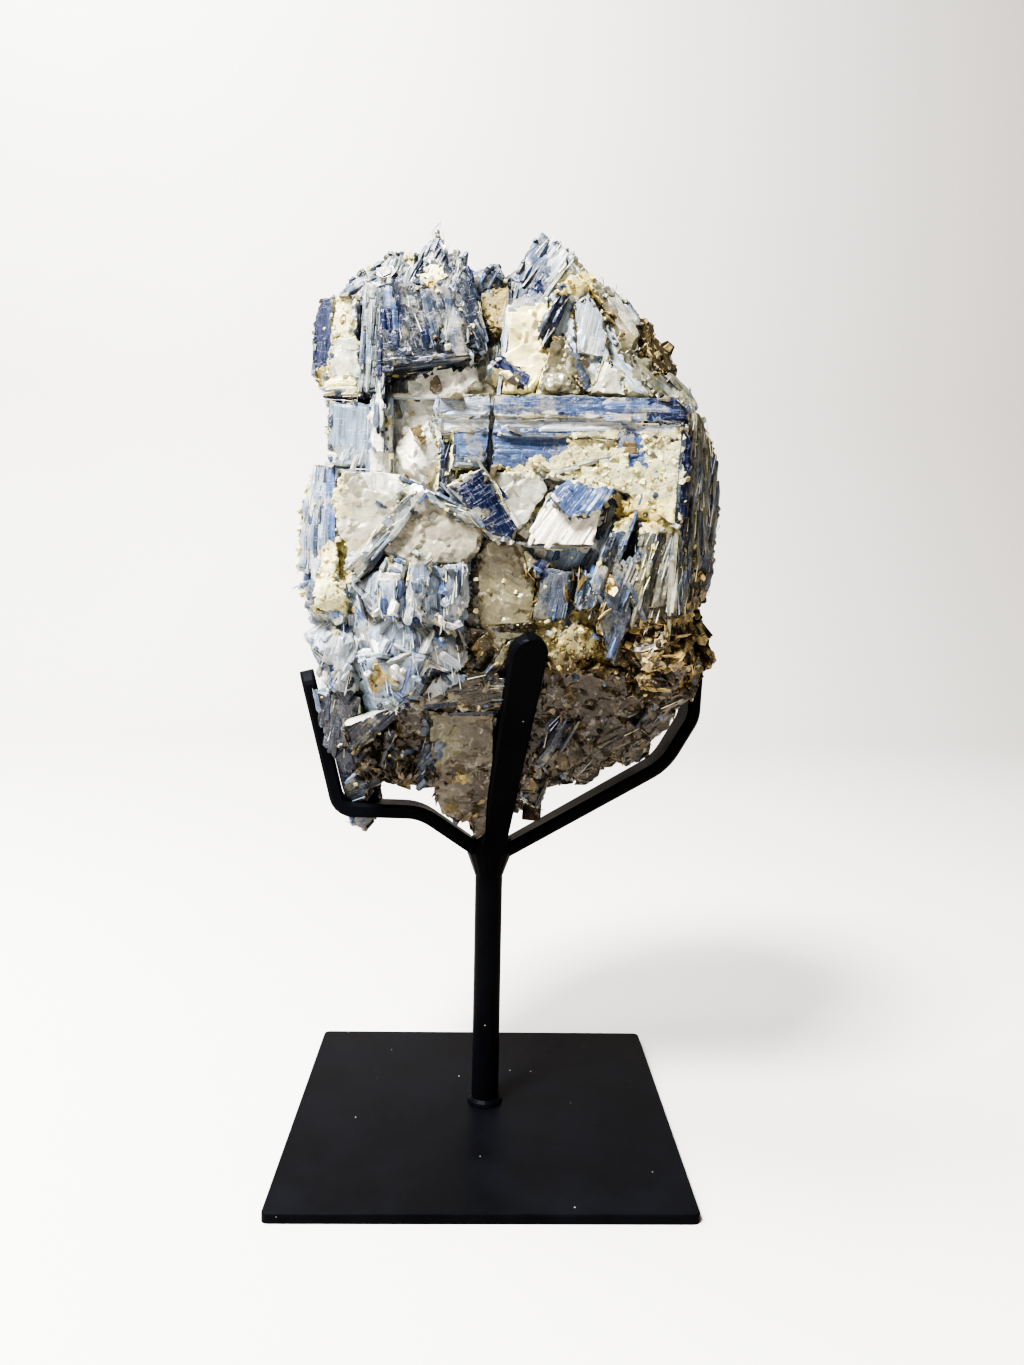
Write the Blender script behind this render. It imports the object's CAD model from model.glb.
"""Looks of the kyanite cluster on its black stand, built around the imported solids."""
import math
import random

import bmesh
import bpy
from mathutils import Matrix, Vector, noise
from mathutils.bvhtree import BVHTree
from mathutils.geometry import area_tri


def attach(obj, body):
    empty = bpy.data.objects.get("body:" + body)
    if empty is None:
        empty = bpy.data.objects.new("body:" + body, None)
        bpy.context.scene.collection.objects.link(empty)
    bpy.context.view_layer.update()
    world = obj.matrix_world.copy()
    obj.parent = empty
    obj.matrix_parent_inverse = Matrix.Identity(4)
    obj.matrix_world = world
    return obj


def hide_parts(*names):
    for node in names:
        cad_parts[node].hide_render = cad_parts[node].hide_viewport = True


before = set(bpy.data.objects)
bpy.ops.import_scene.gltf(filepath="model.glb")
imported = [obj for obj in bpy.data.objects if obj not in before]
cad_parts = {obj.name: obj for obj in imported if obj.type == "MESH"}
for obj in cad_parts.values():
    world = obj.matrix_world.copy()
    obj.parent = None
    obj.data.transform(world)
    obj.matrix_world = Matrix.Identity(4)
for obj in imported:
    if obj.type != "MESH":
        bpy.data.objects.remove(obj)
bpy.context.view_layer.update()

MM = 0.001
BODY = "root"
STONE = "kyanite_stone"
BARS = ("post", "front_arm", "left_arm", "right_arm")

# Camera, solved from the plate's four corners in the photograph.
CAMERA_PLACE = (-0.0037, -0.4180, 0.2143)
CAMERA_YAW = math.radians(1.71)
CAMERA_PITCH = math.radians(4.9)
CAMERA_ROLL = math.radians(1.15)
CAMERA_LENS = 27.96
CAMERA_SENSOR = 36.0
CAMERA_NEAR = 0.02

# Lights: name, place, what it aims at, side in metres, power in watts, colour.
LIGHTS = (
    ("window_key", (-0.52, -0.62, 1.35), (0.0, 0.0, 0.25), 0.36, 74.0, (1.0, 0.99, 0.97)),
    ("left_side", (-1.1, -0.1, 0.8), (0.0, 0.0, 0.26), 0.7, 6.0, (0.97, 0.98, 1.0)),
    ("floor_sweep", (-1.0, 0.3, 2.2), (-0.9, 1.7, 0.8), 1.4, 120.0, (1.0, 0.995, 0.98)),
)
WORLD_COLOUR = (0.95, 0.95, 0.97, 1.0)
WORLD_GIVEN = 0.14
WORLD_SEEN = 0.80

# Floor, in metres.
FLOOR_REACH = 3.0
FLOOR_FRONT = -2.5
FLOOR_BACK = 1.1
SWEEP_RADIUS = 0.6
SWEEP_STEPS = 12
SWEEP_TOP = 2.6

# Fineness of the stone's skin, in millimetres apart from MERGE and SLIVER in metres.
FIRST_EDGE = 60.0
SKIN_EDGE = 2.4
MERGE = 1e-6
SLIVER = 2e-5
NO_AREA = 1e-12
FACET_ANGLE = math.radians(9.0)
KEEN_EDGE = math.radians(35.0)
SHARP_EDGE = math.radians(28.0)
SKIN_SEED = 7

# Vector noise starts from the clock unless it has a seed.
NOISE_SEED = 5

# Room that the skin and the crystals leave round the stand's bars, in millimetres.
SKIN_CLEAR = 0.5
SKIN_EASE = 2.5
CRYSTAL_CLEAR = 1.5

# Crystals: one lies on each square of the skin with this side, in millimetres.
CRYSTAL_SEED = 23
BLADE_SPACING = 4.9
FIBRE_SPACING = 4.2
FLAKE_SPACING = 3.0
GRAIN_SPACING = 2.1
CHIP_SPACING = 4.4
HOLLOW_SPACING = 2.7
HOLLOW_ANGLE = math.radians(25.0)
BLADE_SHORTEST = 3.0
BLADE_SUNK = 1.1
PANEL_SHARE = 0.3
SAME_GRAIN = 0.94

# How a blade lies: its swing, lean and roll in degrees, and how proud it may stand.
BLADE_MANNERS = {
    "kyanite": (2.5, 1.5, 5.0, 0.8),
    "panel": (0.6, 0.3, 1.5, 0.4),
    "shards": (32.5, 15.5, 19.0, 1.7),
}
GRAIN_CHANCE = {"crust": 0.85, "quartz": 0.015, "panel": 0.012, "mica": 0.02}

# Sockets of the mix node for colours.
MIX_FACTOR, MIX_FIRST, MIX_SECOND, MIX_RESULT = 0, 6, 7, 2
MIDDLE = (0.5, 0.5, 0.5)

# Colours that are laid over the crystals' own, and those of the paint and floor, linear.
THREAD_PALE = (0.62, 0.66, 0.72, 1.0)
KYANITE_CHALK = (0.70, 0.66, 0.54, 1.0)
KYANITE_RUST = (0.52, 0.47, 0.26, 1.0)
PARTING_BLUE = (0.45, 0.52, 0.62, 1.0)
QUARTZ_VEIL = (0.80, 0.78, 0.72, 1.0)
QUARTZ_RUST = (0.50, 0.38, 0.14, 1.0)
CRUST_CHALK = (0.74, 0.72, 0.58, 1.0)
CRUST_RUST = (0.56, 0.44, 0.14, 1.0)
CRUST_FLECK = (0.24, 0.27, 0.30, 1.0)
MICA_GLINT = (0.66, 0.52, 0.30, 1.0)
PAINT_BLACK = (0.0035, 0.0038, 0.0052, 1.0)
PAINT_RUBBED = (0.0060, 0.0066, 0.0090, 1.0)
DUST_GREY = (0.42, 0.42, 0.42, 1.0)
FLOOR_LOW = (0.74, 0.73, 0.72, 1.0)
FLOOR_HIGH = (0.80, 0.79, 0.78, 1.0)
FLOOR_DULL = (0.56, 0.53, 0.50, 1.0)
FLOOR_GIVEN = (0.50, 0.46, 0.42, 1.0)

# Where each mineral's material stands in a piece's list.
KYANITE, QUARTZ, CRUST, MICA = range(4)
MINERAL_SLOT = {
    "kyanite": KYANITE, "panel": KYANITE, "shards": KYANITE, "quartz": QUARTZ, "crust": CRUST, "mica": MICA,
}

# Crystal colours, linear. The last value is how frayed and stained the crystal is.
TONES = {
    "royal": (0.005, 0.011, 0.048, 0.03),
    "blue": (0.050, 0.090, 0.205, 0.30),
    "sky": (0.220, 0.275, 0.355, 0.40),
    "steel": (0.048, 0.066, 0.100, 0.35),
    "slate": (0.015, 0.021, 0.037, 0.18),
    "mist": (0.130, 0.155, 0.160, 0.45),
    "moss": (0.120, 0.115, 0.080, 0.50),
    "silver": (0.410, 0.460, 0.505, 0.50),
    "straw": (0.580, 0.500, 0.240, 0.60),
    "white": (0.720, 0.700, 0.620, 0.10),
    "quartz": (0.470, 0.455, 0.360, 0.15),
    "haze": (0.290, 0.280, 0.225, 0.20),
    "olive": (0.135, 0.125, 0.078, 0.25),
    "smoky": (0.040, 0.030, 0.017, 0.20),
    "cream": (0.860, 0.800, 0.460, 0.15),
    "yellow": (0.760, 0.640, 0.260, 0.25),
    "amber": (0.420, 0.290, 0.085, 0.40),
    "ochre": (0.330, 0.270, 0.120, 0.35),
    "bronze": (0.112, 0.082, 0.032, 0.20),
    "gold": (0.340, 0.260, 0.105, 0.20),
    "umber": (0.027, 0.020, 0.009, 0.25),
    "grey": (0.108, 0.091, 0.062, 0.15),
}

# The stone's front, as patches read from the photograph: mineral, tone, the way
# the grain runs in degrees above +X, and the patch's corners (x, z) in
# millimetres. A point takes the first patch that holds it.
PATCHES = (
    # Crown
    ("crust", "cream", 0, ((-28, 327), (-20, 325), (-18, 330), (-24, 333))),
    ("crust", "cream", 0, ((-33, 332), (-29, 332), (-28, 339), (-35, 338))),
    ("panel", "royal", 88, ((-38, 321), (-34, 321), (-34, 329), (-38, 329))),
    ("crust", "yellow", 0, ((-27, 319), (-21, 319), (-21, 325), (-27, 325))),
    ("kyanite", "mist", 75, ((-43, 321), (-30, 321), (-29, 336), (-42, 336))),
    ("kyanite", "slate", 70, ((-36, 318), (-11, 318), (-14, 333), (-23, 344), (-31, 334))),
    ("kyanite", "mist", 50, ((-58, 317), (-40, 320), (-40, 335), (-52, 330))),
    ("kyanite", "steel", 80, ((-20, 298), (-12, 298), (-12, 335), (-18, 320))),
    ("kyanite", "slate", 112, ((-12, 300), (-2, 303), (-6, 322), (-12, 334))),
    ("kyanite", "slate", 4, ((-43, 289), (-6, 294), (-6, 298.5), (-43, 296))),
    ("kyanite", "royal", 92, ((-38, 299), (-33, 299), (-34, 318), (-39, 318))),
    ("kyanite", "slate", 95, ((-43, 296), (-31, 297), (-31, 323), (-43, 322))),
    ("kyanite", "slate", 104, ((-31, 297), (-7, 298), (-9, 308), (-17, 320), (-31, 323))),
    ("kyanite", "mist", 88, ((-49, 283), (-41, 283), (-41, 322), (-48, 324))),
    ("crust", "yellow", 0, ((-68, 285), (-61, 285), (-61, 294), (-68, 294))),
    ("panel", "royal", 85, ((-68, 294), (-59, 294), (-58, 317), (-63, 318))),
    ("crust", "cream", 88, ((-59, 301), (-50, 301), (-50, 317), (-58, 318))),
    ("kyanite", "steel", 20, ((-62, 316), (-48, 316), (-48, 324), (-60, 322))),
    ("quartz", "quartz", 0, ((-61, 289), (-48, 289), (-48, 301), (-61, 301))),
    ("kyanite", "straw", 4, ((-63, 281), (-46, 281), (-46, 289), (-63, 290))),
    ("crust", "ochre", 0, ((-8, 307), (1, 307), (5, 318), (5, 327), (-2, 323))),
    ("kyanite", "steel", 60, ((-12, 320), (6, 322), (5, 336), (-12, 338))),
    ("panel", "royal", 60, ((10, 318), (16, 321), (17, 328), (11, 325))),
    ("crust", "yellow", 0, ((22, 319), (34, 320), (33, 328), (23, 327))),
    ("kyanite", "steel", 60, ((4, 313), (17, 317), (19, 331), (15, 340), (6, 330))),
    ("kyanite", "silver", 55, ((15, 326), (29, 326), (25, 341), (15, 341))),
    ("kyanite", "slate", 62, ((24.5, 323), (20.5, 323), (14, 303), (17.5, 301))),
    ("quartz", "olive", 0, ((15, 283), (31, 284), (24, 305), (19, 303))),
    ("panel", "steel", -58, ((24, 291), (31, 284), (34, 288), (29, 299), (23, 301))),
    ("quartz", "quartz", 0, ((31, 283), (47, 283), (45, 291), (38, 300))),
    ("panel", "silver", 75, ((25, 299), (40, 297), (38, 312), (32, 321), (24, 316))),
    ("kyanite", "silver", -60, ((37, 290), (53, 284), (43, 303), (34, 321), (24, 337), (20, 326), (29, 315))),
    ("panel", "royal", -30, ((-2, 296), (3, 296), (13, 288), (9, 285))),
    ("quartz", "cream", 80, ((0, 283), (14, 283), (19, 300), (18, 320), (12, 324), (3, 314))),
    ("quartz", "white", 0, ((-32, 283), (-13, 283), (-7, 289), (-7, 295), (-28, 294))),
    ("quartz", "quartz", 0, ((-13, 282), (-1, 282), (-1, 296), (-13, 296))),
    # Middle
    ("panel", "royal", 1, ((53, 274.5), (68, 274), (67, 283), (60, 285), (53, 284))),
    ("panel", "blue", 1, ((44, 275), (53, 275), (53, 284), (44, 284))),
    ("panel", "silver", 1, ((38, 275), (44, 275), (44, 284), (38, 282))),
    ("panel", "blue", 1, ((-1, 276.5), (38, 276), (38, 284), (-1, 284))),
    ("panel", "sky", 1, ((-22, 276), (-1, 276), (-1, 284), (-22, 283))),
    ("panel", "blue", 1, ((43, 265.5), (52, 265.5), (52, 274), (43, 274))),
    ("panel", "blue", 1, ((46, 259), (53, 259), (53, 264.5), (46, 264.5))),
    ("panel", "royal", 89, ((65, 239), (70, 241), (70, 270), (66, 277))),
    ("panel", "silver", 1, ((-22, 271.5), (40, 270.5), (42, 276.5), (-22, 277))),
    ("panel", "blue", 0, ((-14, 262), (10, 260), (24, 263), (29, 271), (-14, 272))),
    ("kyanite", "steel", 0, ((-14, 249), (-3, 257), (-3, 262), (-14, 262))),
    ("crust", "yellow", 0, ((42, 237), (64, 237), (66, 248), (44, 248))),
    ("crust", "cream", 0, ((16, 262), (0, 256.5), (18, 255), (44, 250), (43, 236), (66, 236), (69, 272),
                           (30, 272))),
    ("panel", "sky", 88, ((-60, 264), (-44, 264), (-44, 281), (-60, 282))),
    ("kyanite", "silver", 70, ((-60, 254), (-44, 254), (-44, 264), (-60, 264))),
    ("quartz", "white", 88, ((-42.8, 262), (-38.2, 262), (-38.2, 295), (-42.8, 295))),
    ("panel", "white", 88, ((-45, 248), (-37, 248), (-37, 282), (-44, 282))),
    ("quartz", "white", 0, ((-37, 248), (-20, 248), (-20, 277), (-37, 277))),
    ("kyanite", "slate", 85, ((-20, 248), (-13, 248), (-13, 268), (-20, 269))),
    ("crust", "cream", 0, ((-58, 237), (-52, 239), (-52, 257), (-57, 257))),
    ("kyanite", "mist", 50, ((-25, 249), (-31, 245), (-52, 219), (-45, 217))),
    ("kyanite", "mist", -25, ((-33, 253), (-28, 254), (-3, 241), (-5, 236), (-30, 247))),
    ("quartz", "quartz", 0, ((-53, 256), (-33, 255), (-29, 247), (-27, 242), (-40, 230), (-47, 222),
                             (-55, 234), (-55, 247))),
    ("quartz", "haze", 0, ((-30, 247), (-8, 241), (-4, 237), (-4, 229), (-10, 223), (-40, 223), (-40, 229))),
    ("panel", "royal", -56, ((-17, 250), (-4, 258), (9, 237), (6, 231), (-1, 233), (-6, 239))),
    ("quartz", "quartz", 0, ((-5, 257), (17, 257.5), (20, 250), (13, 238), (5, 233))),
    ("panel", "blue", 55, ((19, 248), (24, 253), (31, 255), (43, 251), (37, 243), (26, 240))),
    ("panel", "white", 58, ((18, 250), (39, 244), (36, 230), (11, 230))),
    ("crust", "cream", 0, ((-65, 205), (-53, 205), (-50, 233), (-58, 233), (-64, 228))),
    ("kyanite", "sky", 86, ((-70, 217), (-56, 217), (-56, 258), (-63, 258), (-69, 240))),
    ("kyanite", "steel", 70, ((36, 206), (50, 206), (52, 241), (40, 238))),
    ("kyanite", "moss", 74, ((50, 204), (71, 206), (71, 241), (52, 241))),
    # Lower half
    ("kyanite", "sky", 95, ((-27, 212), (-22, 212), (-22, 228), (-28, 228))),
    ("kyanite", "sky", 88, ((-16, 203), (-9, 203), (-9, 225), (-15, 225))),
    ("crust", "ochre", 0, ((-45, 181), (-40, 178), (-37, 181), (-33, 180), (-35, 186), (-40, 190),
                           (-42, 185))),
    ("shards", "sky", 100, ((-50, 176), (-34, 171), (-9, 181), (-8, 229), (-50, 229))),
    ("quartz", "olive", 0, ((-6, 202), (15, 202), (15, 227), (8, 235), (-2, 235), (-7, 226))),
    ("quartz", "umber", 0, ((-10, 186), (2, 186), (2, 216), (-10, 216))),
    ("kyanite", "royal", -30, ((10, 230), (20, 225), (18, 218), (11, 219))),
    ("kyanite", "steel", 80, ((13, 204), (28, 204), (29, 222), (17, 223))),
    ("kyanite", "steel", 75, ((29, 207), (39, 207), (38, 222), (29, 223))),
    ("kyanite", "sky", 62, ((18, 220), (42, 221), (42, 233), (18, 231))),
    ("kyanite", "steel", 72, ((43, 188), (50, 205), (52, 228), (41, 224), (37, 202))),
    ("crust", "ochre", 0, ((17, 192), (42, 190), (43, 207), (17, 207))),
    ("crust", "bronze", 0, ((17, 187), (24, 184), (31, 188), (44, 185), (42, 194), (17, 194))),
    ("mica", "gold", 0, ((50, 178), (82, 178), (84, 224), (50, 224))),
    ("shards", "silver", 80, ((-70, 177), (-48, 177), (-48, 207), (-70, 207))),
    # Underside
    ("panel", "slate", 48, ((-55, 163), (-36, 172), (-32, 169), (-51, 151))),
    ("kyanite", "slate", 75, ((-66, 152), (-50, 152), (-48, 176), (-66, 177))),
    ("kyanite", "slate", 65, ((-41, 144), (-36, 146), (-35, 162), (-39, 162))),
    ("quartz", "umber", 0, ((-52, 140), (-28, 138), (-27, 170), (-46, 164))),
    ("kyanite", "steel", 60, ((-30, 138), (-24, 138), (-17, 157), (-22, 160))),
    ("kyanite", "steel", 30, ((-64, 116), (-38, 116), (-38, 141), (-64, 141))),
    ("crust", "ochre", 0, ((-14, 141), (-8, 140), (-8, 144), (-13, 145))),
    ("quartz", "smoky", 0, ((-7, 114), (4, 114), (4, 147), (-3, 150), (-8, 132))),
    ("quartz", "olive", 0, ((-22, 146), (-12, 149), (-11, 166), (-21, 170))),
    ("quartz", "grey", 0, ((-24, 171), (3, 171), (3, 114), (-24, 118))),
    ("kyanite", "umber", 12, ((-34, 171), (6, 168), (6, 187), (-22, 184))),
    ("kyanite", "slate", 62, ((31, 168), (24, 170), (17, 148), (22, 146))),
    ("quartz", "smoky", 0, ((17, 170), (53, 176), (51, 187), (17, 187))),
    ("kyanite", "umber", 28, ((40, 151), (82, 166), (84, 178), (44, 168))),
    ("kyanite", "umber", 36, ((20, 128), (44, 142), (40, 152), (18, 140))),
    ("quartz", "smoky", 0, ((3, 121), (80, 121), (84, 178), (3, 170))),
)

# How far a face turns to the front before a patch can hold it, how much of a grain has
# to lie in a facet or at a point before it counts, and the side of the cells, in
# millimetres, that the minerals are dealt by away from the front.
PATCH_FRONT = 0.02
FACET_LEVEL = 0.2
POINT_LEVEL = 0.25
DEAL_CELL = 20.0

# The open crack in the level blue crystal, in millimetres.
CRACK_X = -1.6
CRACK_LOW = 254.0
CRACK_HIGH = 286.0
CRACK_DEPTH = -36.0
CRACK_CLEAR = 1.2

# Away from the front: centre and reach of each region in millimetres, then the
# minerals that its crystals are dealt from.
REGIONS = (
    ((84, 6, 240), (22, 34, 44), (("kyanite", "slate"), ("kyanite", "steel"), ("kyanite", "moss"))),
    ((66, 4, 296), (26, 30, 24),
     (("mica", "umber"), ("quartz", "olive"), ("kyanite", "moss"), ("quartz", "olive"))),
    ((80, 6, 184), (24, 34, 26), (("mica", "bronze"), ("mica", "gold"), ("quartz", "smoky"))),
    ((30, 60, 282), (30, 26, 26), (("quartz", "quartz"), ("kyanite", "silver"), ("quartz", "cream"))),
    ((-22, 60, 262), (38, 26, 46),
     (("kyanite", "blue"), ("kyanite", "royal"), ("kyanite", "sky"), ("kyanite", "silver"))),
    ((22, 64, 226), (40, 26, 22), (("kyanite", "steel"), ("kyanite", "blue"), ("crust", "cream"))),
    ((-18, 56, 184), (36, 26, 30), (("kyanite", "sky"), ("kyanite", "silver"), ("quartz", "white"))),
    ((46, 52, 178), (34, 26, 30), (("quartz", "smoky"), ("mica", "bronze"), ("kyanite", "steel"))),
    ((-68, 22, 244), (22, 34, 44), (("kyanite", "steel"), ("kyanite", "silver"), ("crust", "cream"))),
    ((-66, 18, 190), (22, 34, 30), (("kyanite", "sky"), ("quartz", "quartz"), ("kyanite", "slate"))),
    ((0, 20, 332), (60, 34, 18),
     (("kyanite", "steel"), ("kyanite", "silver"), ("kyanite", "moss"), ("kyanite", "slate"))),
    ((0, 14, 130), (60, 40, 26), (("quartz", "smoky"), ("quartz", "olive"), ("kyanite", "slate"))),
)

# The tones that crystals take among the shards, those that few fibres lie on, those of
# the fibres and stray flakes, and those that a blade in each patch may have.
SHARD_TONES = ("sky", "silver", "white", "mist", "sky", "silver", "steel", "slate", "silver", "blue")
DARK_TONES = ("royal", "slate", "steel", "umber")
FIBRE_TONES = ("white", "silver", "silver", "cream", "sky")
STRAY_FLAKE_TONES = ("bronze", "smoky", "smoky", "grey", "steel")
NEIGHBOURS = {
    "royal": ("royal", "royal", "royal", "slate", "blue"),
    "blue": ("blue", "blue", "royal", "steel", "sky"),
    "sky": ("sky", "sky", "silver", "blue", "steel"),
    "steel": ("steel", "steel", "slate", "steel", "blue", "mist"),
    "slate": ("slate", "slate", "steel", "slate", "royal", "slate"),
    "mist": ("mist", "mist", "steel", "sky", "mist"),
    "moss": ("moss", "moss", "steel", "mist", "olive"),
    "umber": ("umber", "smoky", "grey", "umber", "slate"),
    "silver": ("silver", "sky", "silver", "steel", "white"),
    "straw": ("straw", "cream", "yellow", "sky", "straw"),
    "white": ("white", "silver", "white", "sky", "white"),
}


# Nodes

def set_inputs(tree, node, inputs):
    """Links each input to the socket given for it, or sets it to the plain value."""
    for key, value in inputs.items():
        if isinstance(value, bpy.types.NodeSocket):
            tree.links.new(value, node.inputs[key])
        else:
            node.inputs[key].default_value = value


def add_node(tree, kind, inputs=None, **settings):
    node = tree.nodes.new(kind)
    for key, value in settings.items():
        setattr(node, key, value)
    set_inputs(tree, node, inputs or {})
    return node


def math_node(tree, operation, first, second=0.0):
    return add_node(tree, "ShaderNodeMath", {0: first, 1: second}, operation=operation).outputs[0]


def times(tree, value, factor):
    return math_node(tree, "MULTIPLY", value, factor)


def vector_node(tree, operation, first, second=None, scale=None):
    inputs = {0: first, 1: second, "Scale": scale}
    given = {key: value for key, value in inputs.items() if value is not None}
    node = add_node(tree, "ShaderNodeVectorMath", given, operation=operation)
    return node.outputs["Value" if operation == "DOT_PRODUCT" else "Vector"]


def ramp_between(tree, value, low, high, low_out=0.0, high_out=1.0):
    """A smooth rise from one output to the other as the value goes from low to high."""
    node = add_node(tree, "ShaderNodeMapRange", {
        "Value": value, "From Min": low, "From Max": high, "To Min": low_out, "To Max": high_out,
    }, interpolation_type="SMOOTHSTEP")
    return node.outputs["Result"]


def noise_node(tree, vector, scale, detail=3.0, roughness=0.55, distortion=0.0):
    node = add_node(tree, "ShaderNodeTexNoise", {
        "Vector": vector, "Scale": scale, "Detail": detail, "Roughness": roughness, "Distortion": distortion,
    })
    return node.outputs["Fac"]


def mix_colours(tree, factor, first, second, blend="MIX"):
    node = add_node(tree, "ShaderNodeMix", {MIX_FACTOR: factor, MIX_FIRST: first, MIX_SECOND: second},
                    data_type="RGBA", blend_type=blend, clamp_factor=True)
    return node.outputs[MIX_RESULT]


def group_with(tree, group, inputs):
    return add_node(tree, "ShaderNodeGroup", inputs, node_tree=group)


def bump(tree, height, strength, distance):
    inputs = {"Height": height, "Strength": strength, "Distance": distance}
    return add_node(tree, "ShaderNodeBump", inputs).outputs[0]


def object_place(tree):
    return add_node(tree, "ShaderNodeTexCoord").outputs["Object"]


def seen_by_camera(tree):
    return add_node(tree, "ShaderNodeLightPath").outputs["Is Camera Ray"]


def crystal_tint(tree):
    """A crystal's own colour, and how frayed and stained it is."""
    tint = add_node(tree, "ShaderNodeAttribute", attribute_name="tint")
    return tint.outputs["Color"], tint.outputs["Alpha"]


def new_material(name):
    material = bpy.data.materials.new(name)
    material.use_nodes = True
    tree = material.node_tree
    return material, tree, tree.nodes["Principled BSDF"]


def layered(tree, body, own, layers):
    """The body under layers. Each has a mask, its strength, and a colour with how far
    it is drawn from the crystal's own."""
    for mask, strength, colour, drawn in layers:
        laid = mix_colours(tree, drawn, own, colour)
        body = mix_colours(tree, times(tree, mask, strength), body, laid)
    return body


# Effects that the minerals share

def new_group(name, inputs, outputs):
    """A node group with number inputs and outputs, and its two end nodes."""
    group = bpy.data.node_groups.new(name, "ShaderNodeTree")
    for label, value in inputs:
        socket = group.interface.new_socket(name=label, in_out="INPUT", socket_type="NodeSocketFloat")
        socket.default_value = value
    for label in outputs:
        group.interface.new_socket(name=label, in_out="OUTPUT", socket_type="NodeSocketFloat")
    return group, group.nodes.new("NodeGroupInput"), group.nodes.new("NodeGroupOutput")


def grain_group():
    """Streaks drawn out along each crystal's own grain, and thin partings across it."""
    group, given, out = new_group(
        "crystal_grain",
        (("Broad Scale", 500.0), ("Fine Scale", 1800.0), ("Stretch", 0.06)),
        ("Broad", "Fine", "Parting"),
    )
    place = object_place(group)
    grain = add_node(group, "ShaderNodeAttribute", attribute_name="grain").outputs["Vector"]
    run = vector_node(group, "DOT_PRODUCT", place, grain)
    shrink = math_node(group, "SUBTRACT", given.outputs["Stretch"], 1.0)
    squeeze = vector_node(group, "SCALE", grain, scale=times(group, run, shrink))
    stretched = vector_node(group, "ADD", place, squeeze)
    wobble = add_node(group, "ShaderNodeTexNoise", {"Vector": place, "Scale": 120.0, "Detail": 2.0})
    shifted = vector_node(group, "SUBTRACT", wobble.outputs["Color"], MIDDLE)
    bent = vector_node(group, "ADD", stretched, vector_node(group, "SCALE", shifted, scale=0.0016))
    broad = noise_node(group, bent, given.outputs["Broad Scale"], 3.0, 0.6)
    fine = noise_node(group, bent, given.outputs["Fine Scale"], 2.0, 0.6)
    across = vector_node(group, "SCALE", grain, scale=run)
    patchy = vector_node(group, "ADD", across, vector_node(group, "SCALE", place, scale=0.12))
    step = noise_node(group, patchy, 330.0, 2.0, 0.6)
    line = math_node(group, "ABSOLUTE", math_node(group, "SUBTRACT", step, 0.5))
    parting = ramp_between(group, line, 0.006, 0.022, 1.0, 0.0)
    set_inputs(group, out, {"Broad": broad, "Fine": fine, "Parting": parting})
    return group


def weathering_group():
    """Patches of iron stain and pale crust, more of both where the crystal is frayed."""
    group, given, out = new_group(
        "weathering",
        (("Fray", 0.3), ("Patch Scale", 70.0), ("Speck Scale", 900.0)),
        ("Stain", "Chalk", "Speck"),
    )
    fray, patch_scale = given.outputs["Fray"], given.outputs["Patch Scale"]
    place = object_place(group)
    large = noise_node(group, place, patch_scale, 5.0, 0.65)
    small = noise_node(group, place, given.outputs["Speck Scale"], 3.0, 0.6)
    joined = math_node(group, "ADD", times(group, large, 0.75), times(group, small, 0.25))
    stain = ramp_between(group, math_node(group, "ADD", joined, times(group, fray, 0.12)), 0.575, 0.66)
    elsewhere = vector_node(group, "ADD", place, (0.37, 0.11, 0.53))
    cover = noise_node(group, elsewhere, patch_scale, 6.0, 0.7)
    chalk = ramp_between(group, math_node(group, "ADD", cover, times(group, fray, 0.22)), 0.60, 0.72)
    set_inputs(group, out, {"Stain": stain, "Chalk": chalk, "Speck": small})
    return group


# Minerals, paint and floor

def kyanite_material(grain, weathering):
    """Blue blades, streaked along their grain, with pale threads, chalk and rust."""
    material, tree, shader = new_material("kyanite")
    own, fray = crystal_tint(tree)
    streaks = group_with(tree, grain, {"Broad Scale": 760.0, "Fine Scale": 2600.0, "Stretch": 0.045})
    wear = group_with(tree, weathering, {"Fray": fray, "Patch Scale": 75.0})
    broad, fine, parting = [streaks.outputs[label] for label in ("Broad", "Fine", "Parting")]
    threads = math_node(tree, "ADD", fine, times(tree, fray, 0.18))
    body = mix_colours(tree, 1.0, own, ramp_between(tree, broad, 0.30, 0.72, 0.58, 1.42), "MULTIPLY")
    body = layered(tree, body, own, (
        (ramp_between(tree, threads, 0.62, 0.76), 0.55, THREAD_PALE, 0.45),
        (wear.outputs["Chalk"], 0.7, KYANITE_CHALK, 0.45),
        (wear.outputs["Stain"], 0.45, KYANITE_RUST, 0.7),
        (parting, 0.3, PARTING_BLUE, 0.3),
    ))
    smooth = ramp_between(tree, fine, 0.3, 0.7, 0.24, 0.46)
    ribs = math_node(tree, "ADD", times(tree, broad, 0.7), times(tree, fine, 0.3))
    height = math_node(tree, "SUBTRACT", ribs, times(tree, parting, 0.15))
    set_inputs(tree, shader, {
        "Base Color": body,
        "Roughness": math_node(tree, "ADD", smooth, times(tree, wear.outputs["Chalk"], 0.3)),
        "Normal": bump(tree, height, 0.65, 0.0009),
        "IOR": 1.6,
    })
    return material


def fracture(tree, place, scale):
    """Height in metres of many small flat breaks, each leaning its own way."""
    cells = add_node(tree, "ShaderNodeTexVoronoi", {"Vector": place, "Scale": scale, "Randomness": 1.0})
    away = vector_node(tree, "SUBTRACT", place, cells.outputs["Position"])
    tilt = vector_node(tree, "SUBTRACT", cells.outputs["Color"], MIDDLE)
    return vector_node(tree, "DOT_PRODUCT", away, tilt)


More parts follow.
